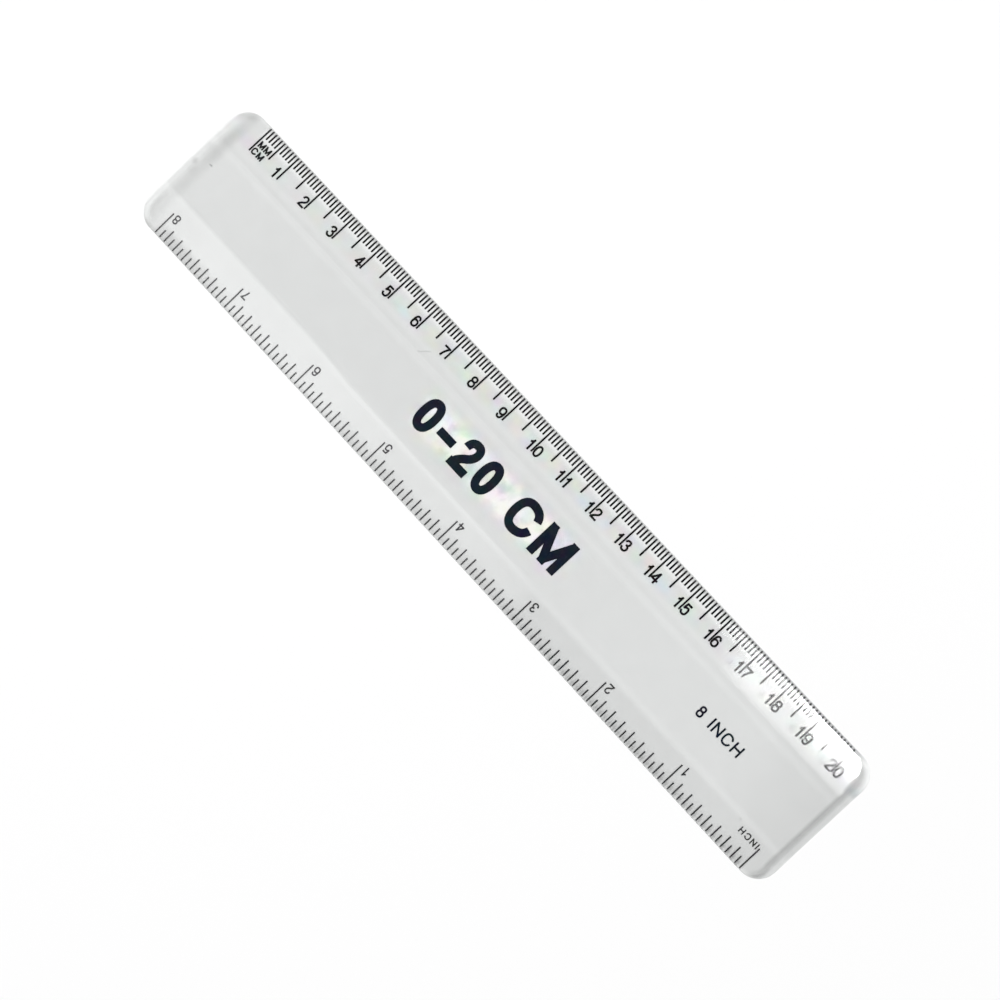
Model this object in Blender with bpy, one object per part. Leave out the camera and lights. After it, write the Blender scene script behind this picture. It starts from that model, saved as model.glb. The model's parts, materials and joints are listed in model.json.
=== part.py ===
# Clear flexible ruler with a 20 cm scale on one long side and an 8 inch scale on the other.
#
# The strip lies flat on its underside. X runs from the 0 cm end to the 20 cm end, Y points to the
# centimetre side, Z is up, and the origin is under the middle of the strip.
#
# The real ruler is one moulded strip that bends along its whole length. Here it is divided into one
# length per centimetre. Each division is a hinge at half the thickness, between two millimetre marks,
# and a run of small equal turns makes the bend. The scales are printed on the underside, and each
# mark is a shallow recess that holds its ink.

import math

import bmesh
import bpy
from mathutils import Matrix, Vector

mm = 0.001
centimetre = 0.01
inch = 0.0254

# Strip
strip_length = 216.6 * mm
strip_width = 37.6 * mm
plateau_thickness = 1.8 * mm
edge_thickness = 0.8 * mm
bevel_width = 10.6 * mm
corner_radius = 5.5 * mm
corner_steps = 6

# Rounded rim round both ends: (place from the end to the rim's inner side, height in the local thickness)
rim_width = 2.2 * mm
rim_inner_radius = 4.0 * mm
rim_profile_shares = ((0.0, 0.40), (0.12, 0.56), (0.55, 0.68), (0.80, 0.86), (1.0, 1.0))

# Divisions that let the strip bend
division_gap = 0.3 * mm
division_after_mark = 0.5 * mm

# Scales, measured from the end that each one starts at
centimetre_scale_margin = 8.7 * mm
inch_scale_margin = 6.1 * mm
scale_end_margin = 5.0 * mm
inch_parts = 16

# Printed marks
mark_depth = 0.1 * mm
mark_from_edge = 0.3 * mm
metric_mark_width = 0.28 * mm
inch_mark_width = 0.25 * mm
centimetre_mark = 6.9 * mm
half_centimetre_mark = 5.3 * mm
millimetre_mark = 2.6 * mm
inch_mark = 6.0 * mm
eighth_inch_mark = 3.25 * mm
sixteenth_inch_mark = 2.0 * mm

plastic_colour = (0.80, 0.81, 0.82, 0.45)
plastic_roughness = 0.12

overrun = 1.0 * mm
same_place = 0.001 * mm

left_end = -strip_length / 2
right_end = strip_length / 2
half_width = strip_width / 2
hinge_height = plateau_thickness / 2
centimetre_zero = left_end + centimetre_scale_margin
inch_zero = right_end - inch_scale_margin
centimetre_count = int((right_end - scale_end_margin - centimetre_zero) / centimetre)
inch_count = int((inch_zero - left_end - scale_end_margin) / inch)


def clear_scene():
    for obj in list(bpy.data.objects):
        bpy.data.objects.remove(obj, do_unlink=True)


def thickness_at(y):
    """Thickness of the strip at a place across it: flat in the middle, thinner towards each long side."""
    along_bevel = min((half_width - abs(y)) / bevel_width, 1)
    return edge_thickness + (plateau_thickness - edge_thickness) * along_bevel


def outline(length, radius):
    """Round of points of a strip with rounded corners, with a point at each end of the plateau's sides."""
    crease = half_width - bevel_width
    points = []
    for corner, (x_side, y_side) in enumerate(((1, -1), (1, 1), (-1, 1), (-1, -1))):
        centre = Vector((x_side * (length / 2 - radius), y_side * (half_width - radius)))
        for step in range(corner_steps + 1):
            angle = math.radians(90 * (corner - 1 + step / corner_steps))
            points.append(centre + radius * Vector((math.cos(angle), math.sin(angle))))
        if x_side != y_side:
            points += [Vector((x_side * length / 2, y)) for y in (y_side * crease, -y_side * crease)]
    return points


def ring(bm, plan, height_share):
    """Closed loop of edges over a plan, at a share of the local thickness."""
    verts = [bm.verts.new((x, y, height_share * thickness_at(y))) for x, y in plan]
    return [bm.edges.new(pair) for pair in zip(verts, verts[1:] + verts[:1])]


def add_cap(bm, edges):
    return bmesh.ops.contextual_create(bm, geom=edges)["faces"][0]


def whole_strip():
    """The undivided strip: an underside, a rim that rises inwards, and a top with two bevels."""
    outer = outline(strip_length, corner_radius)
    inner = outline(strip_length - 2 * rim_width, rim_inner_radius)
    bm = bmesh.new()
    rings = [ring(bm, outer, 0)]
    for inset_share, height_share in rim_profile_shares:
        plan = [a.lerp(b, inset_share) for a, b in zip(outer, inner)]
        rings.append(ring(bm, plan, height_share))
    for lower, upper in zip(rings, rings[1:]):
        bmesh.ops.bridge_loops(bm, edges=lower + upper)
    add_cap(bm, rings[0])
    split_at_bevels(bm, add_cap(bm, rings[-1]))
    bmesh.ops.recalc_face_normals(bm, faces=bm.faces)
    return bm


def split_at_bevels(bm, top):
    """Cuts the top face along both sides of the plateau, so that each of its parts is flat."""
    corners = list(top.verts)
    for crease in (bevel_width - half_width, half_width - bevel_width):
        pair = [v for v in corners if abs(v.co.y - crease) < same_place]
        bmesh.ops.connect_vert_pair(bm, verts=pair)


def strip_between(low, high):
    """The part of the strip between two places along X, closed where it is cut."""
    bm = whole_strip()
    for x, outwards in ((low, -1), (high, 1)):
        everything = bm.verts[:] + bm.edges[:] + bm.faces[:]
        cut = bmesh.ops.bisect_plane(
            bm, geom=everything, plane_co=(x, 0, 0), plane_no=(outwards, 0, 0), clear_outer=True
        )
        border = [e for e in cut["geom_cut"] if isinstance(e, bmesh.types.BMEdge)]
        if border:
            add_cap(bm, border)
    bmesh.ops.recalc_face_normals(bm, faces=bm.faces)
    return bm


def metric_marks():
    """(x, width, start, end) of each millimetre mark, with start and end as places across the strip."""
    edge = half_width - mark_from_edge
    for k in range(10 * centimetre_count + 1):
        if k % 10 == 0:
            length = centimetre_mark
        else:
            length = half_centimetre_mark if k % 5 == 0 else millimetre_mark
        yield centimetre_zero + k * centimetre / 10, metric_mark_width, edge - length, edge


def inch_marks():
    """The same for each sixteenth of an inch, from the 20 cm end back to the 0 cm end."""
    edge = mark_from_edge - half_width
    for k in range(inch_parts * inch_count + 1):
        if k % inch_parts == 0:
            length = inch_mark
        else:
            length = eighth_inch_mark if k % 2 == 0 else sixteenth_inch_mark
        yield inch_zero - k * inch / inch_parts, inch_mark_width, edge, edge + length


def add_mark_cutter(name, low, high):
    """Boxes that sink every mark lying whole between two places into the underside."""
    bm = bmesh.new()
    for x, width, start, end in list(metric_marks()) + list(inch_marks()):
        clear = width / 2 + mark_depth
        if low + clear < x < high - clear:
            size = Matrix.Diagonal((width, end - start, mark_depth + overrun, 1))
            place = Vector((x, (start + end) / 2, (mark_depth - overrun) / 2))
            bmesh.ops.create_cube(bm, size=1, matrix=Matrix.Translation(place) @ size)
    cutter = add_object(name, bm)
    cutter.hide_render = True
    cutter.display_type = "WIRE"
    return cutter


def add_object(name, bm, origin=Vector()):
    """Turns a bmesh modelled in place into an object with its origin at a given point."""
    bmesh.ops.translate(bm, verts=bm.verts, vec=-origin)
    mesh = bpy.data.meshes.new(name)
    bm.to_mesh(mesh)
    bm.free()
    obj = bpy.data.objects.new(name, mesh)
    bpy.context.scene.collection.objects.link(obj)
    obj.location = origin
    return obj


def clear_plastic(name):
    material = bpy.data.materials.new(f"{name}_clear_plastic")
    material.use_nodes = True
    shader = material.node_tree.nodes["Principled BSDF"]
    shader.inputs["Base Color"].default_value = plastic_colour
    shader.inputs["Roughness"].default_value = plastic_roughness
    shader.inputs["Metallic"].default_value = 0
    shader.inputs["Alpha"].default_value = plastic_colour[3]
    material.diffuse_color = plastic_colour
    return material


def division_places():
    """X of each hinge, half a millimetre past a centimetre mark."""
    return [centimetre_zero + k * centimetre + division_after_mark for k in range(1, centimetre_count)]


def add_length(number, low, high, hinge_x):
    """One length of the strip, with its marks sunk in and its origin on its hinge."""
    name = f"strip_cm_{number:02d}"
    length = add_object(name, strip_between(low, high), Vector((hinge_x, 0, hinge_height)))
    length.data.materials.append(clear_plastic(name))
    recess = length.modifiers.new("marks", "BOOLEAN")
    recess.operation = "DIFFERENCE"
    recess.solver = "EXACT"
    recess.object = add_mark_cutter(f"{name}_marks_cutter", low, high)
    return length


def build():
    """All lengths, chained outwards from the one in the middle, which is the root."""
    clear_scene()
    divisions = division_places()
    lows = [left_end - overrun] + [x + division_gap / 2 for x in divisions]
    highs = [x - division_gap / 2 for x in divisions] + [right_end + overrun]
    middle = sum(x < 0 for x in divisions)
    hinges = divisions[:middle] + [0] + divisions[middle:]
    lengths = [add_length(k + 1, *places) for k, places in enumerate(zip(lows, highs, hinges))]
    for k, length in enumerate(lengths):
        inner = k + 1 if k < middle else k - 1
        if k != middle:
            length.parent = lengths[inner]
            length.location.x = hinges[k] - hinges[inner]
            length.location.z = 0


build()
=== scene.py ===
import json
import math

import bmesh
import bpy
from mathutils import Matrix, Vector

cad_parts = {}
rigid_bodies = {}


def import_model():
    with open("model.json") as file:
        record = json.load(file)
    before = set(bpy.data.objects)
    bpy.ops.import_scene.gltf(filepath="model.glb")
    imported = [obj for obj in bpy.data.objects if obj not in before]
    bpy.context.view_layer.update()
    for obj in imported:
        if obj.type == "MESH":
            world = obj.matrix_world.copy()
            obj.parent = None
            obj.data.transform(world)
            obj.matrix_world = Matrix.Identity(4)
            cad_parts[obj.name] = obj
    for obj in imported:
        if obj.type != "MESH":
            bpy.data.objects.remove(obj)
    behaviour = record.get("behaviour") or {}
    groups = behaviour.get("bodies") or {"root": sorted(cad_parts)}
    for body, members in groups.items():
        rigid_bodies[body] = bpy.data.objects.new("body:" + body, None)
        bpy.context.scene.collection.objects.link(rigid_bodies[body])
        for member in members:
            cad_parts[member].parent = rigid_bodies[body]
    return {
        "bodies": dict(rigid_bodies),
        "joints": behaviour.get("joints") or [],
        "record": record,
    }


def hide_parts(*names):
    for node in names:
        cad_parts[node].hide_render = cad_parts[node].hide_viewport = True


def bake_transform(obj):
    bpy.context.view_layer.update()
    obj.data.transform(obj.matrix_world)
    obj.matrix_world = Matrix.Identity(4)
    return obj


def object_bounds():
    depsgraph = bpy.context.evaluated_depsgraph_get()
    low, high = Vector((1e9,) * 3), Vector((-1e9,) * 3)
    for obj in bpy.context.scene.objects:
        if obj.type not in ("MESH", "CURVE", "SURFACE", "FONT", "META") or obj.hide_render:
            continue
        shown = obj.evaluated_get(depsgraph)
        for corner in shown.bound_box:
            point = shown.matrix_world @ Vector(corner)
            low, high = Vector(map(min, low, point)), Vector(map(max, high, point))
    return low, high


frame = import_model()
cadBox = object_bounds()
mm = 0.001

lowCorner, highCorner = cadBox
leftEnd = lowCorner.x
rightEnd = highCorner.x
halfWidth = highCorner.y
plateauTop = highCorner.z

# Hinges from the 0 cm end to the 20 cm end, and the two bodies that each one joins
hinges = sorted(frame["joints"], key=lambda joint: joint["pos_m"][0])
hingeX = [joint["pos_m"][0] for joint in hinges]
hingeSpan = (hingeX[-1] - hingeX[0]) / (len(hingeX) - 1)
bodyPairs = [tuple(sorted((joint["parent"], joint["child"]))) for joint in hinges]
rootBody = next(body for body in frame["bodies"] if all(joint["child"] != body for joint in hinges))
nodesOf = frame["record"]["behaviour"]["bodies"]
print("frame read:", len(hinges), "hinges,", round(hingeSpan / mm, 2), "mm apart, root", rootBody)


# Shader values that can be added, subtracted, multiplied and divided like numbers
class Value:
    def __init__(self, work, socket):
        self.work = work
        self.socket = socket

    def maths(self, operation, *terms):
        return self.work.node("ShaderNodeMath", {"operation": operation}, dict(enumerate(terms)))

    def __add__(self, other):
        return self.maths("ADD", self, other)

    def __sub__(self, other):
        return self.maths("SUBTRACT", self, other)

    def __rsub__(self, other):
        return self.maths("SUBTRACT", other, self)

    def __mul__(self, other):
        return self.maths("MULTIPLY", self, other)

    def __truediv__(self, other):
        return self.maths("DIVIDE", self, other)

    def __rtruediv__(self, other):
        return self.maths("DIVIDE", other, self)

    def __abs__(self):
        return self.maths("ABSOLUTE", self)

    __radd__ = __add__
    __rmul__ = __mul__

    def atLeast(self, other):
        return self.maths("MAXIMUM", self, other)

    def atMost(self, other):
        return self.maths("MINIMUM", self, other)

    def root(self):
        return self.maths("SQRT", self)

    def wrapped(self, period):  # distance past the nearest multiple of the period
        return self.maths("WRAP", self, period / 2, -period / 2)

    def step(self, low, high, fromValue=0.0, toValue=1.0):  # eased change from one value to another
        limits = {"Value": self, "From Min": low, "From Max": high, "To Min": fromValue, "To Max": toValue}
        return self.work.node("ShaderNodeMapRange", {"interpolation_type": "SMOOTHSTEP"}, limits)

    def bump(self, centre, reach):  # 1 at the centre, easing to 0 at the reach
        return abs(self - centre).step(0.0, reach, 1.0, 0.0)


class NodeWork:
    def __init__(self, tree):
        self.tree = tree

    def feed(self, node, sockets):
        for name, value in sockets.items():
            if isinstance(value, Value):
                self.tree.links.new(value.socket, node.inputs[name])
            else:
                node.inputs[name].default_value = value

    def node(self, kind, settings, sockets, output=0):
        made = self.tree.nodes.new(kind)
        for name, value in settings.items():
            setattr(made, name, value)
        self.feed(made, sockets)
        return Value(self, made.outputs[output])

    def axis(self, place, name):
        return self.node("ShaderNodeSeparateXYZ", {}, {0: place}, name)

    def stretched(self, place, factors):
        return self.node("ShaderNodeVectorMath", {"operation": "MULTIPLY"}, {0: place, 1: factors})

    def noise(self, place, grain, detail=2.0, output="Fac"):  # grain is the size of a spot in metres
        sockets = {"Vector": place, "Scale": 1 / grain, "Detail": detail}
        return self.node("ShaderNodeTexNoise", {}, sockets, output)

    def mix(self, factor, first, second, blendType="MIX"):  # colours go in at 6 and 7 and come out at 2
        settings = {"data_type": "RGBA", "blend_type": blendType}
        return self.node("ShaderNodeMix", settings, {0: factor, 6: first, 7: second}, 2)


class Finish(NodeWork):
    def __init__(self, name, constants):
        self.material = bpy.data.materials.new(name)
        self.material.use_nodes = True
        super().__init__(self.material.node_tree)
        self.shader = self.tree.nodes["Principled BSDF"]
        self.feed(self.shader, constants)

    def restPlace(self):  # where a point of the unbent strip lies, in metres
        return self.node("ShaderNodeAttribute", {"attribute_name": "restPlace"}, {}, "Vector")

    def relief(self, height):  # height in metres
        sockets = {"Strength": 1.0, "Distance": 1.0, "Height": height}
        return self.node("ShaderNodeBump", {}, sockets, "Normal")

    def surface(self, colour, roughness, normal=None):
        self.feed(self.shader, {"Base Color": colour, "Roughness": roughness})
        if normal:
            self.feed(self.shader, {"Normal": normal})
        return self.material


def grey(level):
    return (level, level, level, 1.0)


# Strip: a flat underside, a thin rim round both ends and a bevel along each long side
strip = {
    "cornerRadius": 5.5 * mm,
    "cornerSteps": 18,
    "edgeThickness": 0.8 * mm,
    "bevelWidth": 10.6 * mm,
    "creaseEase": 0.5 * mm,
    "grooveIn": 11.3 * mm,  # faint groove just inside each crease
    "grooveHalfWidth": 0.32 * mm,
    "grooveDepth": 0.015 * mm,
    "easeSteps": 4,  # rows on each side of a crease or groove
    "undersideRound": 0.12 * mm,
    "undersideRings": 2,
    "wallFootShare": 0.16,
    "wallHeadShare": 0.40,
    "edgeRound": 0.78 * mm,
    "flatFrom": [0.83 * mm, 0.98 * mm, 1.5 * mm, 3.5 * mm],  # rows that keep the bevel flat by the edge
    "rimWidth": 2.3 * mm,
    "rimRings": 16,
    "shelfRise": 0.08,
    "shelfShare": 0.66,
    "shelfStart": 0.13,
    "shoulderStart": 0.60,
    "cutsPerSpan": 10,
    "mergeWithin": 0.002 * mm,
}


def eased(t):
    t = min(max(t, 0), 1)
    return t * t * (3 - 2 * t)


def quarterRound(t):
    return math.sqrt(1 - (1 - t) ** 2)


def localThickness(y):
    inwards = halfWidth - abs(y)
    slope = (plateauTop - strip["edgeThickness"]) / strip["bevelWidth"]
    beyond = inwards - strip["bevelWidth"]
    ease = strip["creaseEase"]
    height = plateauTop + slope * min(beyond, 0)
    if abs(beyond) < ease:
        height = plateauTop - slope * (ease - beyond) ** 2 / (4 * ease)
    groove = 1 - eased(abs(inwards - strip["grooveIn"]) / strip["grooveHalfWidth"])
    return height - strip["grooveDepth"] * groove


def rimShare(t):  # share of the local thickness, from the outline at 0 to the rim's inner side at 1
    shelfStart = strip["shelfStart"]
    shoulderStart = strip["shoulderStart"]
    shelf = strip["shelfShare"]
    lowShelf = shelf - strip["shelfRise"]
    if t < shelfStart:
        return strip["wallHeadShare"] + (lowShelf - strip["wallHeadShare"]) * quarterRound(t / shelfStart)
    if t < shoulderStart:
        return lowShelf + strip["shelfRise"] * (t - shelfStart) / (shoulderStart - shelfStart)
    return shelf + (1 - shelf) * eased((t - shoulderStart) / (1 - shoulderStart))


def insetFace(bm, face, inset, sideInset, share, shareLayer):  # the long sides end up sideInset in
    bmesh.ops.inset_region(bm, faces=[face], thickness=inset, use_even_offset=True)
    reach = max(v.co.y for v in face.verts)
    bmesh.ops.scale(bm, vec=(1, (halfWidth - sideInset) / reach, 1), verts=face.verts[:])
    for v in face.verts:
        v[shareLayer] = share


def sliceAcross(bm, places, normal):
    for place in places:
        everything = bm.verts[:] + bm.edges[:] + bm.faces[:]
        bmesh.ops.bisect_plane(
            bm, geom=everything, plane_co=normal * place, plane_no=normal, dist=strip["mergeWithin"]
        )


def bendRows():
    step = hingeSpan / strip["cutsPerSpan"]
    first = math.ceil((leftEnd - hingeX[0]) / step)
    last = math.floor((rightEnd - hingeX[0]) / step)
    return [hingeX[0] + k * step for k in range(first, last + 1)]


def bevelRows():
    steps = strip["easeSteps"]
    rows = [strip["bevelWidth"] + k * strip["creaseEase"] / steps for k in range(-steps, steps + 1)]
    rows += [strip["grooveIn"] + k * strip["grooveHalfWidth"] / steps for k in range(-steps, steps + 1)]
    rows += strip["flatFrom"]
    return [side * (halfWidth - inwards) for inwards in rows for side in (-1, 1)]


def wholeStrip():
    bm = bmesh.new()
    share = bm.verts.layers.float.new("rimShare")
    bmesh.ops.create_grid(bm, x_segments=1, y_segments=1, size=0.5)
    bmesh.ops.scale(bm, vec=(rightEnd - leftEnd, 2 * halfWidth, 1), verts=bm.verts)
    bmesh.ops.bevel(
        bm, geom=bm.verts[:], affect="VERTICES", offset=strip["cornerRadius"],
        segments=strip["cornerSteps"], profile=0.5, material=-1,
    )
    underside = bm.faces[:][0]
    raised = bmesh.ops.extrude_face_region(bm, geom=[underside])["geom"]
    top = next(part for part in raised if isinstance(part, bmesh.types.BMFace))
    bmesh.ops.translate(bm, vec=(0, 0, plateauTop), verts=top.verts[:])
    for face, level in ((underside, strip["wallFootShare"]), (top, strip["wallHeadShare"])):
        for v in face.verts:
            v[share] = level
    width = strip["undersideRound"] / strip["undersideRings"]
    for ring in range(1, strip["undersideRings"] + 1):
        t = ring / strip["undersideRings"]
        level = strip["wallFootShare"] * (1 - quarterRound(t))
        insetFace(bm, underside, width, strip["undersideRound"] * t, level, share)
    width = strip["rimWidth"] / strip["rimRings"]
    for ring in range(1, strip["rimRings"] + 1):
        t = ring / strip["rimRings"]
        insetFace(bm, top, width, strip["edgeRound"] * t ** 2, rimShare(t), share)
    sliceAcross(bm, bevelRows(), Vector((0, 1, 0)))
    sliceAcross(bm, bendRows(), Vector((1, 0, 0)))
    for v in bm.verts:
        v.co.z = v[share] * localThickness(v.co.y)
    bmesh.ops.recalc_face_normals(bm, faces=bm.faces)
    print("strip modelled:", len(bm.faces), "faces")
    return bm


# Where each piece's bend between two bodies would start and end. The reaches are set so that neighbouring
# pieces meet at the same slope; nothing in this script bends the pieces.
bend = {"reach": 1.366, "rootReach": 0.5, "nextToRootReach": 0.964}


def bendEnds(k):
    left, right = bodyPairs[k]
    before = bend["reach"]
    after = bend["reach"]
    if left == rootBody:
        before, after = bend["rootReach"], bend["nextToRootReach"]
    if right == rootBody:
        before, after = bend["nextToRootReach"], bend["rootReach"]
    return hingeX[k] - before * hingeSpan, hingeX[k] + after * hingeSpan


def hangPieces(bm, name, material, standsForNodes=False):
    place = bm.verts.layers.float_vector.new("restPlace")
    for v in bm.verts:
        v[place] = v.co
    made = 0
    for k, (left, right) in enumerate(bodyPairs):
        low = hingeX[k] - hingeSpan / 2 if k else leftEnd - hingeSpan
        high = hingeX[k] + hingeSpan / 2 if k + 1 < len(hingeX) else rightEnd + hingeSpan
        part = bm.copy()
        others = [f for f in part.faces if not low < f.calc_center_median().x < high]
        bmesh.ops.delete(part, geom=others, context="FACES")
        if part.faces:
            mesh = bpy.data.meshes.new(f"{name}_{k + 1:02d}")
            part.to_mesh(mesh)
            mesh.materials.append(material)
            mesh.shade_smooth()
            piece = bpy.data.objects.new(mesh.name, mesh)
            bpy.context.scene.collection.objects.link(piece)
            start, end = bendEnds(k)
            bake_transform(piece)
            if standsForNodes:
                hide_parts(*nodesOf[left], *nodesOf[right])
                # The floor under the clear strip is lit as if the strip weren't there
                piece.visible_shadow = False
                piece.visible_diffuse = False
            made += 1
        part.free()
    bm.free()
    print(name, "hung as", made, "pieces")


# Marks: the scales along both long sides
scales = {
    "centimetreZero": leftEnd + 8.7 * mm,
    "centimetre": 10 * mm,
    "centimetres": 20,
    "marksPerCentimetre": 10,
    "inchZero": rightEnd - 6.1 * mm,
    "inch": 25.4 * mm,
    "inches": 8,
    "marksPerInch": 16,
    "fromEdge": 0.30 * mm,
    "metricWidth": 0.43 * mm,
    "inchWidth": 0.34 * mm,
    "centimetreMark": 7.35 * mm,
    "halfMark": 5.5 * mm,
    "millimetreMark": 2.7 * mm,
    "inchMark": 6.3 * mm,
    "eighthMark": 3.4 * mm,
    "sixteenthMark": 2.15 * mm,
}
ink = {
    "height": 0.05 * mm,
    "thickness": 0.03 * mm,
    "black": (0.001, 0.001, 0.0015),
    "grey": (0.035, 0.035, 0.038),
    "navy": (0.004, 0.009, 0.019),
}


def addMark(bm, x, width, length, side):
    middle = side * (halfWidth - scales["fromEdge"] - length / 2)
    size = Matrix.Diagonal((width, length, ink["thickness"], 1))
    bmesh.ops.create_cube(bm, size=1, matrix=Matrix.Translation((x, middle, ink["height"])) @ size)


def metricMarks(bm):
    parts = scales["marksPerCentimetre"]
    for k in range(parts * scales["centimetres"] + 1):
        length = scales["millimetreMark"]
        if k % (parts // 2) == 0:
            length = scales["halfMark"]
        if k % parts == 0:
            length = scales["centimetreMark"]
        addMark(bm, scales["centimetreZero"] + k * mm, scales["metricWidth"], length, 1)


def inchMarks(bm):
    parts = scales["marksPerInch"]
    for k in range(parts * scales["inches"] + 1):
        length = scales["sixteenthMark"] if k % 2 else scales["eighthMark"]
        if k % parts == 0:
            length = scales["inchMark"]
        x = scales["inchZero"] - k * scales["inch"] / parts
        addMark(bm, x, scales["inchWidth"], length, -1)


# Lettering: each sign is a few strokes in a box one unit high. The box's width comes first, and places are
# shares of the box. A bar is straight, a block is a bar with square overhanging ends, a bend is an open
# curve and a loop a closed one.
signs = {
    "0": (0.62, [("loop", [(0, 0), (1, 0), (1, 1), (0, 1)])]),
    "1": (0.62, [("block", [(0.54, 0), (0.54, 1)]), ("bend", [(0.54, 0.97), (0.36, 0.80), (0.02, 0.70)])]),
    "2": (0.62, [
        ("bend", [(0.02, 0.71), (0.05, 1), (0.95, 1.02), (1, 0.58), (0.12, 0.22), (0, 0)]),
        ("block", [(0, 0), (1, 0)]),
    ]),
    "3": (0.62, [
        ("bend", [(0.04, 0.75), (0.12, 1), (0.92, 1.02), (0.92, 0.55), (0.38, 0.55)]),
        ("bend", [(0.38, 0.55), (1.02, 0.55), (1, -0.02), (0.04, -0.02), (0, 0.26)]),
    ]),
    "4": (0.66, [
        ("block", [(0.74, 0), (0.74, 1)]),
        ("bar", [(0.74, 1), (0, 0.30)]),
        ("block", [(0, 0.28), (1, 0.28)]),
    ]),
    "5": (0.62, [
        ("block", [(0.22, 1), (0.92, 1)]),
        ("bar", [(0.20, 1.02), (0.07, 0.46)]),
        ("bend", [(0.07, 0.48), (0.24, 0.64), (1, 0.74), (1, -0.02), (0.04, -0.02), (0, 0.25)]),
    ]),
    "6": (0.62, [
        ("loop", [(0, 0), (1, 0), (1, 0.63), (0, 0.63)]),
        ("bend", [(0, 0.31), (-0.02, 1), (0.90, 1.04), (0.95, 0.76)]),
    ]),
    "7": (0.62, [("block", [(0, 1), (1, 1)]), ("bend", [(0.98, 1), (0.42, 0.54), (0.32, 0)])]),
    "8": (0.62, [
        ("loop", [(0.06, 0.54), (0.94, 0.54), (0.94, 1), (0.06, 1)]),
        ("loop", [(0, 0), (1, 0), (1, 0.54), (0, 0.54)]),
    ]),
    "9": (0.62, [
        ("loop", [(0, 0.37), (1, 0.37), (1, 1), (0, 1)]),
        ("bend", [(1, 0.69), (1.02, 0), (0.10, -0.04), (0.05, 0.24)]),
    ]),
    "C": (0.90, [("bend", [(0.98, 0.70), (0.88, 1.02), (0, 1.04), (0, -0.04), (0.90, -0.02), (1, 0.32)])]),
    "M": (0.98, [
        ("block", [(0, 0), (0, 1)]),
        ("block", [(1, 0), (1, 1)]),
        ("bar", [(0.02, 1), (0.5, 0.02)]),
        ("bar", [(0.98, 1), (0.5, 0.02)]),
        ("block", [(0.5, 0.01), (0.5, 0.02)]),
    ]),
    "I": (0.20, [("block", [(0.5, 0), (0.5, 1)])]),
    "N": (0.82, [
        ("block", [(0, 0), (0, 1)]),
        ("block", [(1, 0), (1, 1)]),
        ("bar", [(0, 1), (1, 0)]),
    ]),
    "H": (0.82, [
        ("block", [(0, 0), (0, 1)]),
        ("block", [(1, 0), (1, 1)]),
        ("bar", [(0, 0.53), (1, 0.53)]),
    ]),
    "-": (0.56, [("block", [(0, 0.42), (1, 0.42)])]),
    " ": (0.36, []),
}
strokeFinish = {"roundPoints": 3, "roundSteps": 8, "sideSteps": 2}


def addStroke(curve, kind, points, halfStroke, boxWidth, place):
    reach = Vector((boxWidth - 2 * halfStroke, 1 - 2 * halfStroke, 0))
    path = [Vector((halfStroke + u * reach.x, halfStroke + v * reach.y, 0)) for u, v in points]
    if kind == "block":
        overhang = (path[-1] - path[0]).normalized() * halfStroke
        path = [path[0] - overhang, path[-1] + overhang]
    straight = kind in ("bar", "block")
    spline = curve.splines.new("POLY" if straight else "NURBS")
    spline.points.add(len(path) - 1)
    for point, co in zip(spline.points, path):
        point.co = (*(place @ co), 1)
    if not straight:
        spline.order_u = strokeFinish["roundPoints"]
        spline.resolution_u = strokeFinish["roundSteps"]
        spline.use_cyclic_u = kind == "loop"
        spline.use_endpoint_u = kind == "bend"


def addFlattened(bm, curve, stroke):  # adds a curve's rounded strokes, pressed flat to the ink's thickness
    holder = bpy.data.objects.new(curve.name, curve)
    bpy.context.scene.collection.objects.link(holder)
    bpy.context.view_layer.update()
    mesh = bpy.data.meshes.new_from_object(holder.evaluated_get(bpy.context.evaluated_depsgraph_get()))
    bpy.data.objects.remove(holder)
    pressed = Matrix.Diagonal((1, 1, ink["thickness"] / stroke, 1))
    mesh.transform(Matrix.Translation((0, 0, ink["height"])) @ pressed)
    bm.from_mesh(mesh)
    bpy.data.meshes.remove(mesh)


def addWords(bm, words, look, x, y, turned=False):
    height = look["height"]
    stroke = look["stroke"]
    gap = look.get("gap", 0)
    curve = bpy.data.curves.new("lettering", "CURVE")
    curve.dimensions = "3D"
    curve.bevel_depth = stroke / 2
    curve.bevel_resolution = strokeFinish["sideSteps"]
    curve.use_fill_caps = True
    widths = [signs[sign][0] * height for sign in words]
    face = Matrix.Translation((x, y, 0)) @ Matrix.Rotation(math.pi if turned else 0, 4, "Z")
    across = -(sum(widths) + gap * (len(words) - 1)) / 2
    for sign, width in zip(words, widths):
        place = face @ Matrix.Translation((across, -height / 2, 0)) @ Matrix.Scale(height, 4)
        for kind, points in signs[sign][1]:
            addStroke(curve, kind, points, stroke / 2 / height, signs[sign][0], place)
        across += width + gap
    addFlattened(bm, curve, stroke)
    bpy.data.curves.remove(curve)


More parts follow.
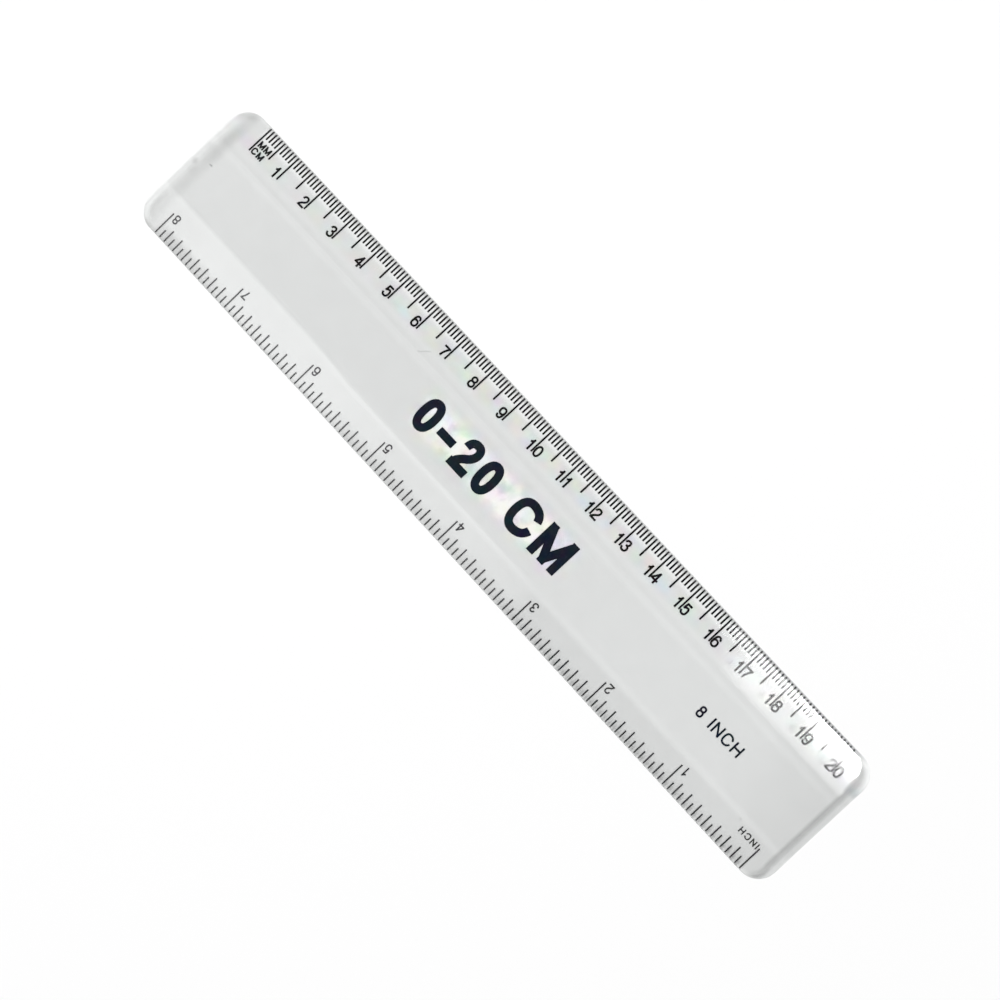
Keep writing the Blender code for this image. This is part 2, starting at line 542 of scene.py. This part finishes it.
# Height, stroke and gap of each kind of lettering, and where it stands
metricNumber = {
    "height": 3.02 * mm,
    "stroke": 0.49 * mm,
    "middle": 12.3 * mm,
    "oneDigit": (-1.32 * mm,),  # each digit's middle, from its mark
    "twoDigits": (-1.12 * mm, 1.22 * mm),
}
inchNumber = {"height": 2.4 * mm, "stroke": 0.33 * mm, "middle": -12.75 * mm, "besideMark": 1.6 * mm}
unitSign = {
    "height": 1.75 * mm,
    "stroke": 0.39 * mm,
    "gap": 0.26 * mm,
    "places": {"MM": (2.45 * mm, 14.15 * mm), "CM": (2.2 * mm, 11.95 * mm)},  # from the 0 cm mark
}
inchSign = {
    "height": 1.55 * mm,
    "stroke": 0.27 * mm,
    "gap": 0.48 * mm,
    "fromZero": -3.4 * mm,
    "middle": -12.3 * mm,
}
middleSign = {
    "words": "0-20 CM",
    "height": 9.0 * mm,
    "stroke": 2.05 * mm,
    "gap": 1.35 * mm,
    "middle": -0.4 * mm,
}
sizeSign = {
    "words": "8 INCH",
    "height": 2.9 * mm,
    "stroke": 0.46 * mm,
    "gap": 0.6 * mm,
    "place": (77.0 * mm, -0.9 * mm),
}


def metricNumerals(bm):
    for number in range(1, scales["centimetres"] + 1):
        x = scales["centimetreZero"] + number * scales["centimetre"]
        digits = str(number)
        offsets = metricNumber["twoDigits"] if len(digits) == 2 else metricNumber["oneDigit"]
        for digit, offset in zip(digits, offsets):
            addWords(bm, digit, metricNumber, x + offset, metricNumber["middle"])


def unitSigns(bm):
    for words, (x, y) in unitSign["places"].items():
        addWords(bm, words, unitSign, scales["centimetreZero"] + x, y)


def inchNumerals(bm):
    for number in range(1, scales["inches"] + 1):
        x = scales["inchZero"] - number * scales["inch"] + inchNumber["besideMark"]
        addWords(bm, str(number), inchNumber, x, inchNumber["middle"], True)
    addWords(bm, "INCH", inchSign, scales["inchZero"] + inchSign["fromZero"], inchSign["middle"], True)


def middleWords(bm):
    addWords(bm, middleSign["words"], middleSign, 0, middleSign["middle"])
    addWords(bm, sizeSign["words"], sizeSign, *sizeSign["place"])


inkSpots = {  # thin and thick spots of the print, its slight tint and its dull finish
    "grain": 0.9 * mm,
    "detail": 3.0,
    "thinFrom": 0.5,
    "thinTo": 0.8,
    "thinning": 0.2,
    "lighterTimes": 2.5,
    "lighterPlus": 0.02,
    "tint": 0.012,
    "tintGrain": 2.7 * mm,
    "tintDetail": 1.0,
    "roughGrain": 0.45 * mm,
    "roughFrom": 0.3,
    "roughTo": 0.7,
    "smoothest": 0.45,
    "roughest": 0.7,
}


def printedInk(name, colour):  # has no gloss of its own, since it lies inside the plastic
    look = inkSpots
    finish = Finish(name, {"Specular IOR Level": 0.0})
    place = finish.restPlace()
    thin = finish.noise(place, look["grain"], look["detail"]).step(look["thinFrom"], look["thinTo"])
    lighter = [level * look["lighterTimes"] + look["lighterPlus"] for level in colour]
    body = finish.mix(thin * look["thinning"], (*colour, 1), (*lighter, 1))
    tint = finish.noise(place, look["tintGrain"], look["tintDetail"], "Color")
    tinted = finish.mix(look["tint"], body, tint, "LINEAR_LIGHT")
    rough = finish.noise(place, look["roughGrain"])
    roughness = rough.step(look["roughFrom"], look["roughTo"], look["smoothest"], look["roughest"])
    return finish.surface(tinted, roughness)


def makeInk(name, colour, parts):
    bm = bmesh.new()
    for part in parts:
        part(bm)
    sliceAcross(bm, bendRows(), Vector((1, 0, 0)))
    hangPieces(bm, name, printedInk(name, colour))


# Clear plastic: how much light comes through each part of the strip, its faint colours, scuffs and waves.
# A gain is a share of the light that is added there, a loss is a share that is taken away. Most of the
# gains and losses below are painted light and shade, not the plastic's own colour.
clear = {
    "ior": 1.53,
    "hue": (0.986, 1.0, 0.993, 1.0),
    "passes": 0.765,  # share of the light that comes through at the 0 cm end
    "gainedAlong": 0.02,
    "gainsFrom": -40 * mm,
    "gainsTo": 60 * mm,
    "lostAtEnd": 0.085,
    "losesFrom": 80 * mm,
    "cloudGrain": 4.8 * mm,
    "cloudDetail": 3.0,
    "cloudFrom": 0.3,
    "cloudTo": 0.7,
    "cloudChange": 0.008,
    "pastelGrain": 4.5 * mm,
    "pastelDetail": 1.5,
    "waveGrain": 11.0 * mm,
    "waveStretch": (0.5, 1.0, 1.0),
    "waveHeight": 0.012 * mm,
    "pebbleGrain": 0.6 * mm,
    "pebbleHeight": 0.00005 * mm,
    "reliefDetail": 1.0,
    "scuffGrain": 0.5 * mm,
    "scuffStretch": (0.12, 1.0, 1.0),
    "scuffFrom": 0.45,
    "scuffTo": 0.75,
    "smoothest": 0.067,
    "roughest": 0.073,
    "sideEase": 1.0 * mm,
}


def onMetricSide(y):  # 1 on the metric half of the strip and 0 on the inch half
    return y.step(0.0, clear["sideEase"])


def fromOutline(x, y):  # distance in from the strip's outline, rounded corners included
    radius = strip["cornerRadius"]
    beyondX = abs(x) - (rightEnd - radius)
    beyondY = abs(y) - (halfWidth - radius)
    cornerX = beyondX.atLeast(0.0)
    cornerY = beyondY.atLeast(0.0)
    corner = (cornerX * cornerX + cornerY * cornerY).root()
    return radius - corner - beyondX.atLeast(beyondY).atMost(0.0)


def distanceTo(x, y, place):  # the place's x is measured from the 0 cm mark
    dx = x - (scales["centimetreZero"] + place[0])
    dy = y - place[1]
    return (dx * dx + dy * dy).root()


creaseLook = {  # painted highlights: pale lines beside the creases, in from the long edges
    "metricLines": [(8.9 * mm, 0.035), (12.0 * mm, 0.035)],
    "inchLine": 8.9 * mm,
    "inchGain": 0.03,
    "inchGainAtEnd": 0.055,
    "inchLineFrom": 10 * mm,
    "inchLineTo": 40 * mm,
    "endFrom": 80 * mm,
    "endTo": 90 * mm,
    "reach": 1.5 * mm,
}


# Painted highlights along the creases, with the painted border of the inch bevel
def creaseLight(x, y, fromSide):
    look = creaseLook
    metric = sum(fromSide.bump(line, look["reach"]) * gain for line, gain in look["metricLines"])
    inchGain = x.step(look["endFrom"], look["endTo"], look["inchGain"], look["inchGainAtEnd"])
    inch = fromSide.bump(look["inchLine"], look["reach"]) * inchGain
    inchFrom = x.step(look["inchLineFrom"], look["inchLineTo"])
    metricSide = onMetricSide(y)
    return metric * metricSide + (inch * inchFrom + inchBorder(x, fromSide)) * (1 - metricSide)


# Painted highlight over the inch bevel past its border, and a painted dark line along that border
borderLook = {  # where the inch bevel turns lighter than the plateau, further out right of the 6 inch mark
    "inwards": 10.85 * mm,
    "further": 9.85 * mm,
    "movesFrom": -56 * mm,
    "movesTo": -38 * mm,
    "endsFrom": 8 * mm,
    "endsTo": 27 * mm,
    "rise": 0.5 * mm,
    "fade": 3.0 * mm,
    "furtherFade": 1.6 * mm,
    "gain": 0.055,
    "loss": 0.045,
    "lossReach": 0.8 * mm,
}


# Painted highlight and painted dark line at the inch bevel's border
def inchBorder(x, fromSide):
    look = borderLook
    moved = x.step(look["movesFrom"], look["movesTo"])
    outwards = look["inwards"] - moved * (look["inwards"] - look["further"]) - fromSide
    fade = look["fade"] - moved * (look["fade"] - look["furtherFade"])
    light = outwards.step(0.0, look["rise"]) * ((outwards - look["rise"]) / fade).step(0.0, 1.0, 1.0, 0.0)
    dark = outwards.bump(0.0, look["lossReach"]) * moved
    shade = light * look["gain"] - dark * look["loss"]
    return shade * x.step(look["endsFrom"], look["endsTo"], 1.0, 0.0)


edgeLook = {  # painted dark line along the metric edge and painted light band that the short marks stand in
    "metricLine": 0.55 * mm,
    "metricReach": 0.65 * mm,
    "metricLoss": 0.27,
    "ticksFrom": 1.0 * mm,
    "ticksTo": 3.4 * mm,
    "tickGain": 0.30,
    "endsFrom": 6.0 * mm,  # in from the right end
    "endsTo": 2.5 * mm,
    "zeroEase": 1.0 * mm,
}


# Painted shade and light along both long edges
def edgeShade(x, y, fromSide):
    look = edgeLook
    metricSide = onMetricSide(y)
    line = fromSide.bump(look["metricLine"], look["metricReach"]) * look["metricLoss"]
    middle = (look["ticksFrom"] + look["ticksTo"]) / 2
    ticks = fromSide.bump(middle, look["ticksTo"] - look["ticksFrom"]) * look["tickGain"]
    metric = metricSide * x.step(scales["centimetreZero"] - look["zeroEase"], scales["centimetreZero"])
    metric = metric * x.step(rightEnd - look["endsFrom"], rightEnd - look["endsTo"], 1.0, 0.0)
    onInchScale = x.step(scales["inchZero"] - look["zeroEase"], scales["inchZero"], 1.0, 0.0)
    inch = inchShade(x, fromSide) * onInchScale
    return (line - ticks) * metric + inch * (1 - metricSide)


# Painted shade along the inch edge
inchShadeLook = {  # a dark line by the inch edge, a shade over the short marks, a weaker one over the bevel
    "dullFrom": -42 * mm,
    "dullTo": -32 * mm,
    "farFrom": 22 * mm,
    "farTo": 27 * mm,
    "lineFrom": 0.15 * mm,
    "lineTo": 1.4 * mm,
    "lineLoss": 0.17,
    "dullLineLoss": 0.09,
    "marksFrom": 1.0 * mm,
    "marksTo": 4.4 * mm,
    "marksLoss": 0.12,
    "farMarksLoss": 0.09,
    "startMarksLoss": 0.12,
    "startsFrom": -105.2 * mm,
    "startsTo": -97 * mm,
    "startEndsFrom": -92 * mm,
    "startEndsTo": -70 * mm,
    "startBand": 2.0 * mm,
    "startBandReach": 1.9 * mm,
    "startBandLoss": 0.10,
    "wholeFrom": 7.0 * mm,
    "wholeTo": 8.9 * mm,
    "wholeLoss": 0.03,
    "farWholeLoss": 0.07,
    "lightFrom": 82 * mm,
    "lightTo": 92 * mm,
    "lightShare": 0.3,
    "rimFrom": 0.1 * mm,
    "rimTo": 0.9 * mm,
    "rimShare": 0.35,
}


# Painted shade along the inch edge, over its marks and over the bevel
def inchShade(x, fromSide):
    look = inchShadeLook
    dull = x.step(look["dullFrom"], look["dullTo"])
    far = x.step(look["farFrom"], look["farTo"])
    start = x.step(look["startsFrom"], look["startsTo"])
    start = start * x.step(look["startEndsFrom"], look["startEndsTo"], 1.0, 0.0)
    startBand = fromSide.bump(look["startBand"], look["startBandReach"]) * start * look["startBandLoss"]
    lineLoss = look["lineLoss"] - dull * (look["lineLoss"] - look["dullLineLoss"])
    marksLoss = dull * look["marksLoss"] - far * (look["marksLoss"] - look["farMarksLoss"])
    marksLoss = marksLoss + start * look["startMarksLoss"]
    wholeLoss = dull * look["wholeLoss"] + far * (look["farWholeLoss"] - look["wholeLoss"])
    line = fromSide.step(look["lineFrom"], look["lineTo"], 1.0, 0.0) * lineLoss
    marks = fromSide.step(look["marksFrom"], look["marksTo"], 1.0, 0.0) * marksLoss
    whole = fromSide.step(look["wholeFrom"], look["wholeTo"], 1.0, 0.0) * wholeLoss
    whole = whole * x.step(look["lightFrom"], look["lightTo"], 1.0, look["lightShare"])
    pastRim = fromSide.step(look["rimFrom"], look["rimTo"], look["rimShare"], 1.0)
    return line + startBand + (marks + whole) * pastRim


markShadowLook = {  # painted soft grey shadow beside each inch mark
    "farShift": 1.15 * mm,
    "nearShift": 0.45 * mm,
    "shiftFrom": 25 * mm,
    "shiftTo": 95 * mm,
    "reach": 0.62 * mm,
    "shallow": 0.5 * mm,
    "deep": 2.5 * mm,
    "loss": 0.26,
    "faint": 0.12,
    "growsFrom": 5 * mm,
    "growsTo": 50 * mm,
    "endsPastZero": 0.6 * mm,
}


def markGhosts(x, y, fromSide):
    look = markShadowLook
    shift = x.step(look["shiftFrom"], look["shiftTo"], look["farShift"], look["nearShift"])
    fromMark = (x - scales["inchZero"] - shift).wrapped(scales["inch"] / scales["marksPerInch"])
    stripe = abs(fromMark).step(0.0, look["reach"], 1.0, 0.0)
    depth = fromSide.step(look["shallow"], look["deep"], 1.0, 0.0)
    strength = x.step(look["growsFrom"], look["growsTo"], look["faint"], 1.0)
    onScale = x.step(scales["inchZero"], scales["inchZero"] + look["endsPastZero"], look["loss"], 0.0)
    return stripe * depth * strength * onScale * (1 - onMetricSide(y))


leftEndLook = {
    "shadeIn": 3.8 * mm,  # painted wide shade inside the rim, deeper on part of the metric half
    "shadeReach": 2.6 * mm,
    "shadeLoss": 0.10,
    "moreLoss": 0.08,
    "moreFrom": 0.0,
    "moreTo": 5 * mm,
    "moreEndsFrom": 12 * mm,
    "moreEndsTo": 15 * mm,
    "nearFrom": 3 * mm,  # both corners, in from the end and up or down from mid width
    "nearTo": 6 * mm,
    "metricCornerFrom": 13 * mm,
    "metricCornerTo": 16.5 * mm,
    "inchCornerFrom": -14 * mm,
    "inchCornerTo": -9 * mm,
    "cornerLineIn": 1.0 * mm,  # painted shade in a dark line round the metric corner
    "cornerLineReach": 1.6 * mm,
    "cornerLineLoss": 0.17,
    "arcIn": 2.4 * mm,  # painted shade in a faint arc round the inch corner
    "arcReach": 1.1 * mm,
    "arcLoss": 0.05,
    "bandIn": 0.9 * mm,  # painted highlight in a pale band along the outline
    "bandReach": 1.3 * mm,
    "bandGain": 0.06,
    "inchCornerGain": 0.07,
    # painted highlight right at the end wall
    "wallFrom": 0.25 * mm,
    "wallTo": 0.6 * mm,
    "wallGain": 0.16,
}


# Painted shade and highlights round the rim at the 0 cm end
def leftEndShade(x, y, inwards):
    look = leftEndLook
    fromEnd = x - leftEnd
    more = y.step(look["moreFrom"], look["moreTo"], 0.0, look["moreLoss"])
    more = more * y.step(look["moreEndsFrom"], look["moreEndsTo"], 1.0, 0.0)
    shade = fromEnd.bump(look["shadeIn"], look["shadeReach"]) * (more + look["shadeLoss"])
    nearEnd = fromEnd.step(look["nearFrom"], look["nearTo"], 1.0, 0.0)
    metricCorner = nearEnd * y.step(look["metricCornerFrom"], look["metricCornerTo"])
    inchCorner = nearEnd * y.step(look["inchCornerFrom"], look["inchCornerTo"], 1.0, 0.0)
    corner = inwards.bump(look["cornerLineIn"], look["cornerLineReach"]) * look["cornerLineLoss"]
    arc = inwards.bump(look["arcIn"], look["arcReach"]) * look["arcLoss"]
    band = inwards.bump(look["bandIn"], look["bandReach"])
    bandGain = inchCorner * look["inchCornerGain"] + look["bandGain"]
    gain = band * bandGain * (1 - metricCorner) * nearEnd
    wall = fromEnd.step(look["wallFrom"], look["wallTo"], look["wallGain"], 0.0)
    return shade + corner * metricCorner + arc * inchCorner - gain - wall


rightEndLook = {
    "lineIn": 2.1 * mm,  # painted shade in a dark line along the inner side of the rim
    "lineReach": 1.25 * mm,
    "lineLoss": 0.36,
    "lineFrom": 7.5 * mm,  # the line starts this far in from the end, less at the inch corner
    "inchLineFrom": 4.6 * mm,
    "inchLineUpFrom": -15 * mm,
    "inchLineUpTo": -11 * mm,
    "fullAt": 0.5,  # and is full at this share of that distance
    "inchShift": 1.4 * mm,  # how far the line moves out at each corner
    "inchShiftFrom": -17.5 * mm,
    "inchShiftTo": -13 * mm,
    "metricShift": 0.25 * mm,
    "metricCornerFrom": 11 * mm,
    "metricCornerTo": 16 * mm,
    "metricCornerFade": 0.75,
    "outerFrom": 0.1 * mm,  # painted highlight on the outer side of the rim at the metric corner
    "outerTo": 1.9 * mm,
    "outerGain": 0.42,
}


# Painted shade and highlight round the rim at the 20 cm end
def rightEndShade(x, y, inwards):
    look = rightEndLook
    lineFrom = y.step(look["inchLineUpFrom"], look["inchLineUpTo"], look["inchLineFrom"], look["lineFrom"])
    nearEnd = ((x - rightEnd) / lineFrom).step(-1.0, -look["fullAt"])
    metricCorner = y.step(look["metricCornerFrom"], look["metricCornerTo"])
    inchShift = y.step(look["inchShiftFrom"], look["inchShiftTo"], look["inchShift"], 0.0)
    shift = metricCorner * look["metricShift"] + inchShift
    line = (inwards + shift).bump(look["lineIn"], look["lineReach"]) * look["lineLoss"]
    outer = inwards.step(look["outerFrom"], look["outerTo"], look["outerGain"], 0.0)
    return nearEnd * (line * (1 - metricCorner * look["metricCornerFade"]) - outer * metricCorner)


# Darker patches by the 0 cm end, among them a small speck. The two on the inch bevel are painted shade.
darkPatches = [  # x from the 0 cm mark, y, reach, loss
    (-7.2 * mm, 0.1 * mm, 1.3 * mm, 0.24),
    (-6.2 * mm, -1.6 * mm, 2.2 * mm, 0.06),
    (-7.2 * mm, 5.2 * mm, 1.8 * mm, 0.06),
    (-5.6 * mm, 9.8 * mm, 2.8 * mm, 0.05),
    (-3.2 * mm, -14.6 * mm, 3.5 * mm, 0.03),
    (1.0 * mm, -14.5 * mm, 12.0 * mm, 0.045),
    (-3.55 * mm, 2.1 * mm, 0.36 * mm, 0.75),
]


def smudged(x, y):
    return sum(distanceTo(x, y, place).step(0.0, reach, loss, 0.0) for *place, reach, loss in darkPatches)


scratches = [  # start and end from the 0 cm mark, half width, loss
    ((64.0 * mm, 7.4 * mm), (67.0 * mm, 10.4 * mm), 0.22 * mm, 0.24),
    ((193.6 * mm, -10.6 * mm), (194.6 * mm, -11.0 * mm), 0.5 * mm, 0.10),
]


def scratched(x, y):  # each scratch fades out over its outer quarters
    lost = 0
    for start, end, halfScratch, loss in scratches:
        along = Vector(end) - Vector(start)
        middle = (Vector(start) + Vector(end)) / 2
        direction = along.normalized()
        dx = x - (scales["centimetreZero"] + middle.x)
        dy = y - middle.y
        lengthwise = abs(dx * direction.x + dy * direction.y)
        sideways = abs(dy * direction.x - dx * direction.y)
        fade = lengthwise.step(along.length / 4, along.length / 2, 1.0, 0.0)
        lost = fade * sideways.step(0.0, halfScratch, loss, 0.0) + lost
    return lost


numeralShadowLook = {  # painted grey shadow beside each metric numeral
    "shift": -3.0 * mm,  # from the numeral's mark
    "middle": 11.6 * mm,
    "reach": 1.7 * mm,
    "loss": 0.12,
    "growsFrom": 55 * mm,
    "growsTo": 65 * mm,
}


def numeralSmears(x, y):
    look = numeralShadowLook
    dx = (x - scales["centimetreZero"] - look["shift"]).wrapped(scales["centimetre"])
    dy = y - look["middle"]
    paintedShadow = (dx * dx + dy * dy).root().step(0.0, look["reach"], look["loss"], 0.0)
    return paintedShadow * x.step(look["growsFrom"], look["growsTo"])


rowHaze = {  # pale rainbow tint along the metric numerals, stronger in the middle of the strip
    "middle": 12.6 * mm,
    "reach": 3.6 * mm,
    "tintInMiddle": 0.17,
    "tint": 0.08,
    "weakensFrom": 45 * mm,
    "weakensTo": 62 * mm,
}


def rowTint(x, y):
    look = rowHaze
    tint = abs(x).step(look["weakensFrom"], look["weakensTo"], look["tintInMiddle"], look["tint"])
    return y.bump(look["middle"], look["reach"]) * tint


wordHaze = {  # white clouds and rainbow tint round the words in the middle
    "halfLength": 23 * mm,
    "halfHeight": 2.0 * mm,
    "whiteSoft": 3.6 * mm,
    "whiteFrom": 0.38,
    "whiteTo": 0.62,
    "whiteGain": 0.33,
    "tintSoft": 6.0 * mm,
    "tint": 0.28,
}


def wordArea(x, y, soft):
    length = wordHaze["halfLength"]
    height = wordHaze["halfHeight"]
    offMiddle = abs(y - middleSign["middle"])
    return abs(x).step(length, length + soft, 1.0, 0.0) * offMiddle.step(height, height + soft, 1.0, 0.0)


def clearPlastic():
    finish = Finish("clearPlastic", {"Transmission Weight": 1.0, "IOR": clear["ior"]})
    place = finish.restPlace()
    x = finish.axis(place, "X")
    y = finish.axis(place, "Y")
    inwards = fromOutline(x, y)
    fromSide = halfWidth - abs(y)

    cloud = finish.noise(place, clear["cloudGrain"], clear["cloudDetail"])
    white = cloud.step(wordHaze["whiteFrom"], wordHaze["whiteTo"], 0.0, wordHaze["whiteGain"])
    # lit holds painted highlights and the white clouds; lost holds painted shade and shadows, dark patches
    # and scratches
    lit = 1 + creaseLight(x, y, fromSide) + wordArea(x, y, wordHaze["whiteSoft"]) * white
    lost = edgeShade(x, y, fromSide) + markGhosts(x, y, fromSide) + leftEndShade(x, y, inwards)
    lost = lost + rightEndShade(x, y, inwards) + smudged(x, y) + scratched(x, y) + numeralSmears(x, y)
    gained = x.step(clear["gainsFrom"], clear["gainsTo"], 0.0, clear["gainedAlong"])
    along = gained - x.step(clear["losesFrom"], rightEnd, 0.0, clear["lostAtEnd"])
    change = clear["cloudChange"]
    clouded = cloud.step(clear["cloudFrom"], clear["cloudTo"], 1 - change, 1 + change)
    passes = (clear["passes"] + along) * lit * (1 - lost) * clouded
    body = finish.mix(passes, grey(0.0), clear["hue"])

    pastel = finish.noise(place, clear["pastelGrain"], clear["pastelDetail"], "Color")
    tinted = rowTint(x, y) + wordArea(x, y, wordHaze["tintSoft"]) * wordHaze["tint"]
    colour = finish.mix(tinted, body, pastel, "LINEAR_LIGHT")

    wavePlace = finish.stretched(place, clear["waveStretch"])
    waves = finish.noise(wavePlace, clear["waveGrain"], clear["reliefDetail"]) * clear["waveHeight"]
    pebbles = finish.noise(place, clear["pebbleGrain"], clear["reliefDetail"]) * clear["pebbleHeight"]
    scuffs = finish.noise(finish.stretched(place, clear["scuffStretch"]), clear["scuffGrain"])
    roughness = scuffs.step(clear["scuffFrom"], clear["scuffTo"], clear["smoothest"], clear["roughest"])
    return finish.surface(colour, roughness, finish.relief(waves + pebbles))


hangPieces(wholeStrip(), "strip", clearPlastic(), True)
makeInk("metricInk", ink["black"], [metricMarks, metricNumerals, unitSigns])
makeInk("inchInk", ink["grey"], [inchMarks, inchNumerals])
makeInk("middleInk", ink["navy"], [middleWords])


# Floor, light and camera
studio = {
    "floorSize": 6.0,
    "floorGap": 0.02 * mm,
    "floorDarkest": 0.946,
    "floorLightest": 0.954,
    "floorGrain": 0.4,
    "cloudFrom": 0.2,
    "cloudTo": 0.8,
    "floorSmoothest": 0.85,
    "floorRoughest": 0.95,
    "skySides": 1.17,
    "skyTop": 0.18,
    "topFrom": 0.80,
    "topFull": 0.95,
}
softKey = {"place": Vector((-0.5, 0.3, 0.9)), "size": (0.7, 0.7), "radiance": 1.2}
# Panels seen mirrored in a bevel: the middle and size of the stretch that each one lights, its distance
# and its radiance
glares = {
    "metricBevel": {
        "middle": (93.2 * mm, 13.4 * mm), "size": (48.6 * mm, 9.6 * mm), "away": 0.6, "radiance": 4.0,
    },
    "metricBevelFirst": {
        "middle": (74.2 * mm, 12.0 * mm), "size": (15.4 * mm, 4.8 * mm), "away": 0.3, "radiance": 3.6,
    },
    "metricCorner": {
        "middle": (103 * mm, 16.2 * mm), "size": (24.2 * mm, 4.4 * mm), "away": 0.5, "radiance": 26,
    },
    "metricFade": {
        "middle": (97.7 * mm, 17.55 * mm), "size": (28.6 * mm, 1.1 * mm), "away": 0.15, "radiance": 28,
    },
    "metricEdge": {
        "middle": (84.7 * mm, 17.55 * mm), "size": (45.5 * mm, 1.8 * mm), "away": 0.2, "radiance": 12,
    },
    "metricEdgeEnd": {
        "middle": (92.5 * mm, 17.6 * mm), "size": (32 * mm, 1.2 * mm), "away": 0.15, "radiance": 8,
    },
    "inchBevel": {
        "middle": (-64 * mm, -14.0 * mm), "size": (78 * mm, 12.6 * mm), "away": 0.5, "radiance": 1.0,
    },
    "inchBevelFurther": {
        "middle": (-40 * mm, -14.0 * mm), "size": (126 * mm, 12.6 * mm), "away": 0.5, "radiance": 0.9,
    },
}
bevelTilt = math.atan((plateauTop - strip["edgeThickness"]) / strip["bevelWidth"])
cameraSetUp = {
    "fromZero": Vector((208.11, 16.47, 567.93)) * mm,  # from the 0 cm mark, at mid width
    "right": Vector((0.66907, 0.72855, -0.14679)),
    "up": Vector((-0.72072, 0.68426, 0.11108)),
    "lens": 90,
    "sensor": 36,
}


def makeFloor():
    bm = bmesh.new()
    bmesh.ops.create_grid(bm, x_segments=1, y_segments=1, size=studio["floorSize"] / 2)
    mesh = bpy.data.meshes.new("floor")
    bm.to_mesh(mesh)
    bm.free()
    finish = Finish("paleFloor", {"Specular IOR Level": 0.0})
    place = finish.node("ShaderNodeTexCoord", {}, {}, "Object")
    cloud = finish.noise(place, studio["floorGrain"])
    shade = finish.mix(cloud, grey(studio["floorDarkest"]), grey(studio["floorLightest"]))
    roughness = cloud.step(
        studio["cloudFrom"], studio["cloudTo"], studio["floorSmoothest"], studio["floorRoughest"]
    )
    mesh.materials.append(finish.surface(shade, roughness))
    floor = bpy.data.objects.new("floor", mesh)
    floor.location.z = -studio["floorGap"]
    bpy.context.scene.collection.objects.link(floor)


def makeSky():
    world = bpy.data.worlds.new("studio")
    world.use_nodes = True
    sky = NodeWork(world.node_tree)
    direction = sky.node("ShaderNodeTexCoord", {}, {}, "Generated")
    strength = sky.axis(direction, "Z").step(
        studio["topFrom"], studio["topFull"], studio["skySides"], studio["skyTop"]
    )
    sky.feed(world.node_tree.nodes["Background"], {"Color": grey(1.0), "Strength": strength})
    bpy.context.scene.world = world


def cameraPlace():
    return Vector((scales["centimetreZero"], 0, 0)) + cameraSetUp["fromZero"]


def addLamp(name, place, target, size, radiance, glossyOnly):  # lies along the strip and faces the target
    data = bpy.data.lights.new(name, "AREA")
    data.shape = "RECTANGLE"
    data.size, data.size_y = size
    data.energy = radiance * math.pi * data.size * data.size_y
    lamp = bpy.data.objects.new(name, data)
    backwards = (place - target).normalized()
    across = backwards.cross(Vector((1, 0, 0))).normalized()
    turn = Matrix((across.cross(backwards), across, backwards)).transposed()
    lamp.matrix_world = Matrix.Translation(place) @ turn.to_4x4()
    lamp.visible_camera = False
    lamp.visible_diffuse = not glossyOnly
    lamp.visible_transmission = not glossyOnly
    lamp.visible_glossy = glossyOnly
    bpy.context.scene.collection.objects.link(lamp)


def addGlare(name):
    look = glares[name]
    x, y = look["middle"]
    target = Vector((x, y, localThickness(y)))
    tilt = math.copysign(bevelTilt, y)
    normal = Vector((0, math.sin(tilt), math.cos(tilt)))
    toCamera = cameraPlace() - target
    toPanel = 2 * normal.dot(toCamera.normalized()) * normal - toCamera.normalized()
    growth = 1 + look["away"] / toCamera.length
    size = [share * growth for share in look["size"]]
    addLamp(name, target + toPanel * look["away"], target, size, look["radiance"], True)


def makeCamera():
    data = bpy.data.cameras.new("camera")
    data.sensor_width = cameraSetUp["sensor"]
    data.lens = cameraSetUp["lens"]
    camera = bpy.data.objects.new("camera", data)
    right = cameraSetUp["right"]
    up = cameraSetUp["up"]
    turn = Matrix((right, up, right.cross(up))).transposed()
    camera.matrix_world = Matrix.Translation(cameraPlace()) @ turn.to_4x4()
    bpy.context.scene.collection.objects.link(camera)
    bpy.context.scene.camera = camera


makeFloor()
makeSky()
addLamp("softKey", softKey["place"], Vector(), softKey["size"], softKey["radiance"], False)
for name in glares:
    addGlare(name)
makeCamera()
bpy.context.scene.view_settings.view_transform = "Standard"
print("studio set up")
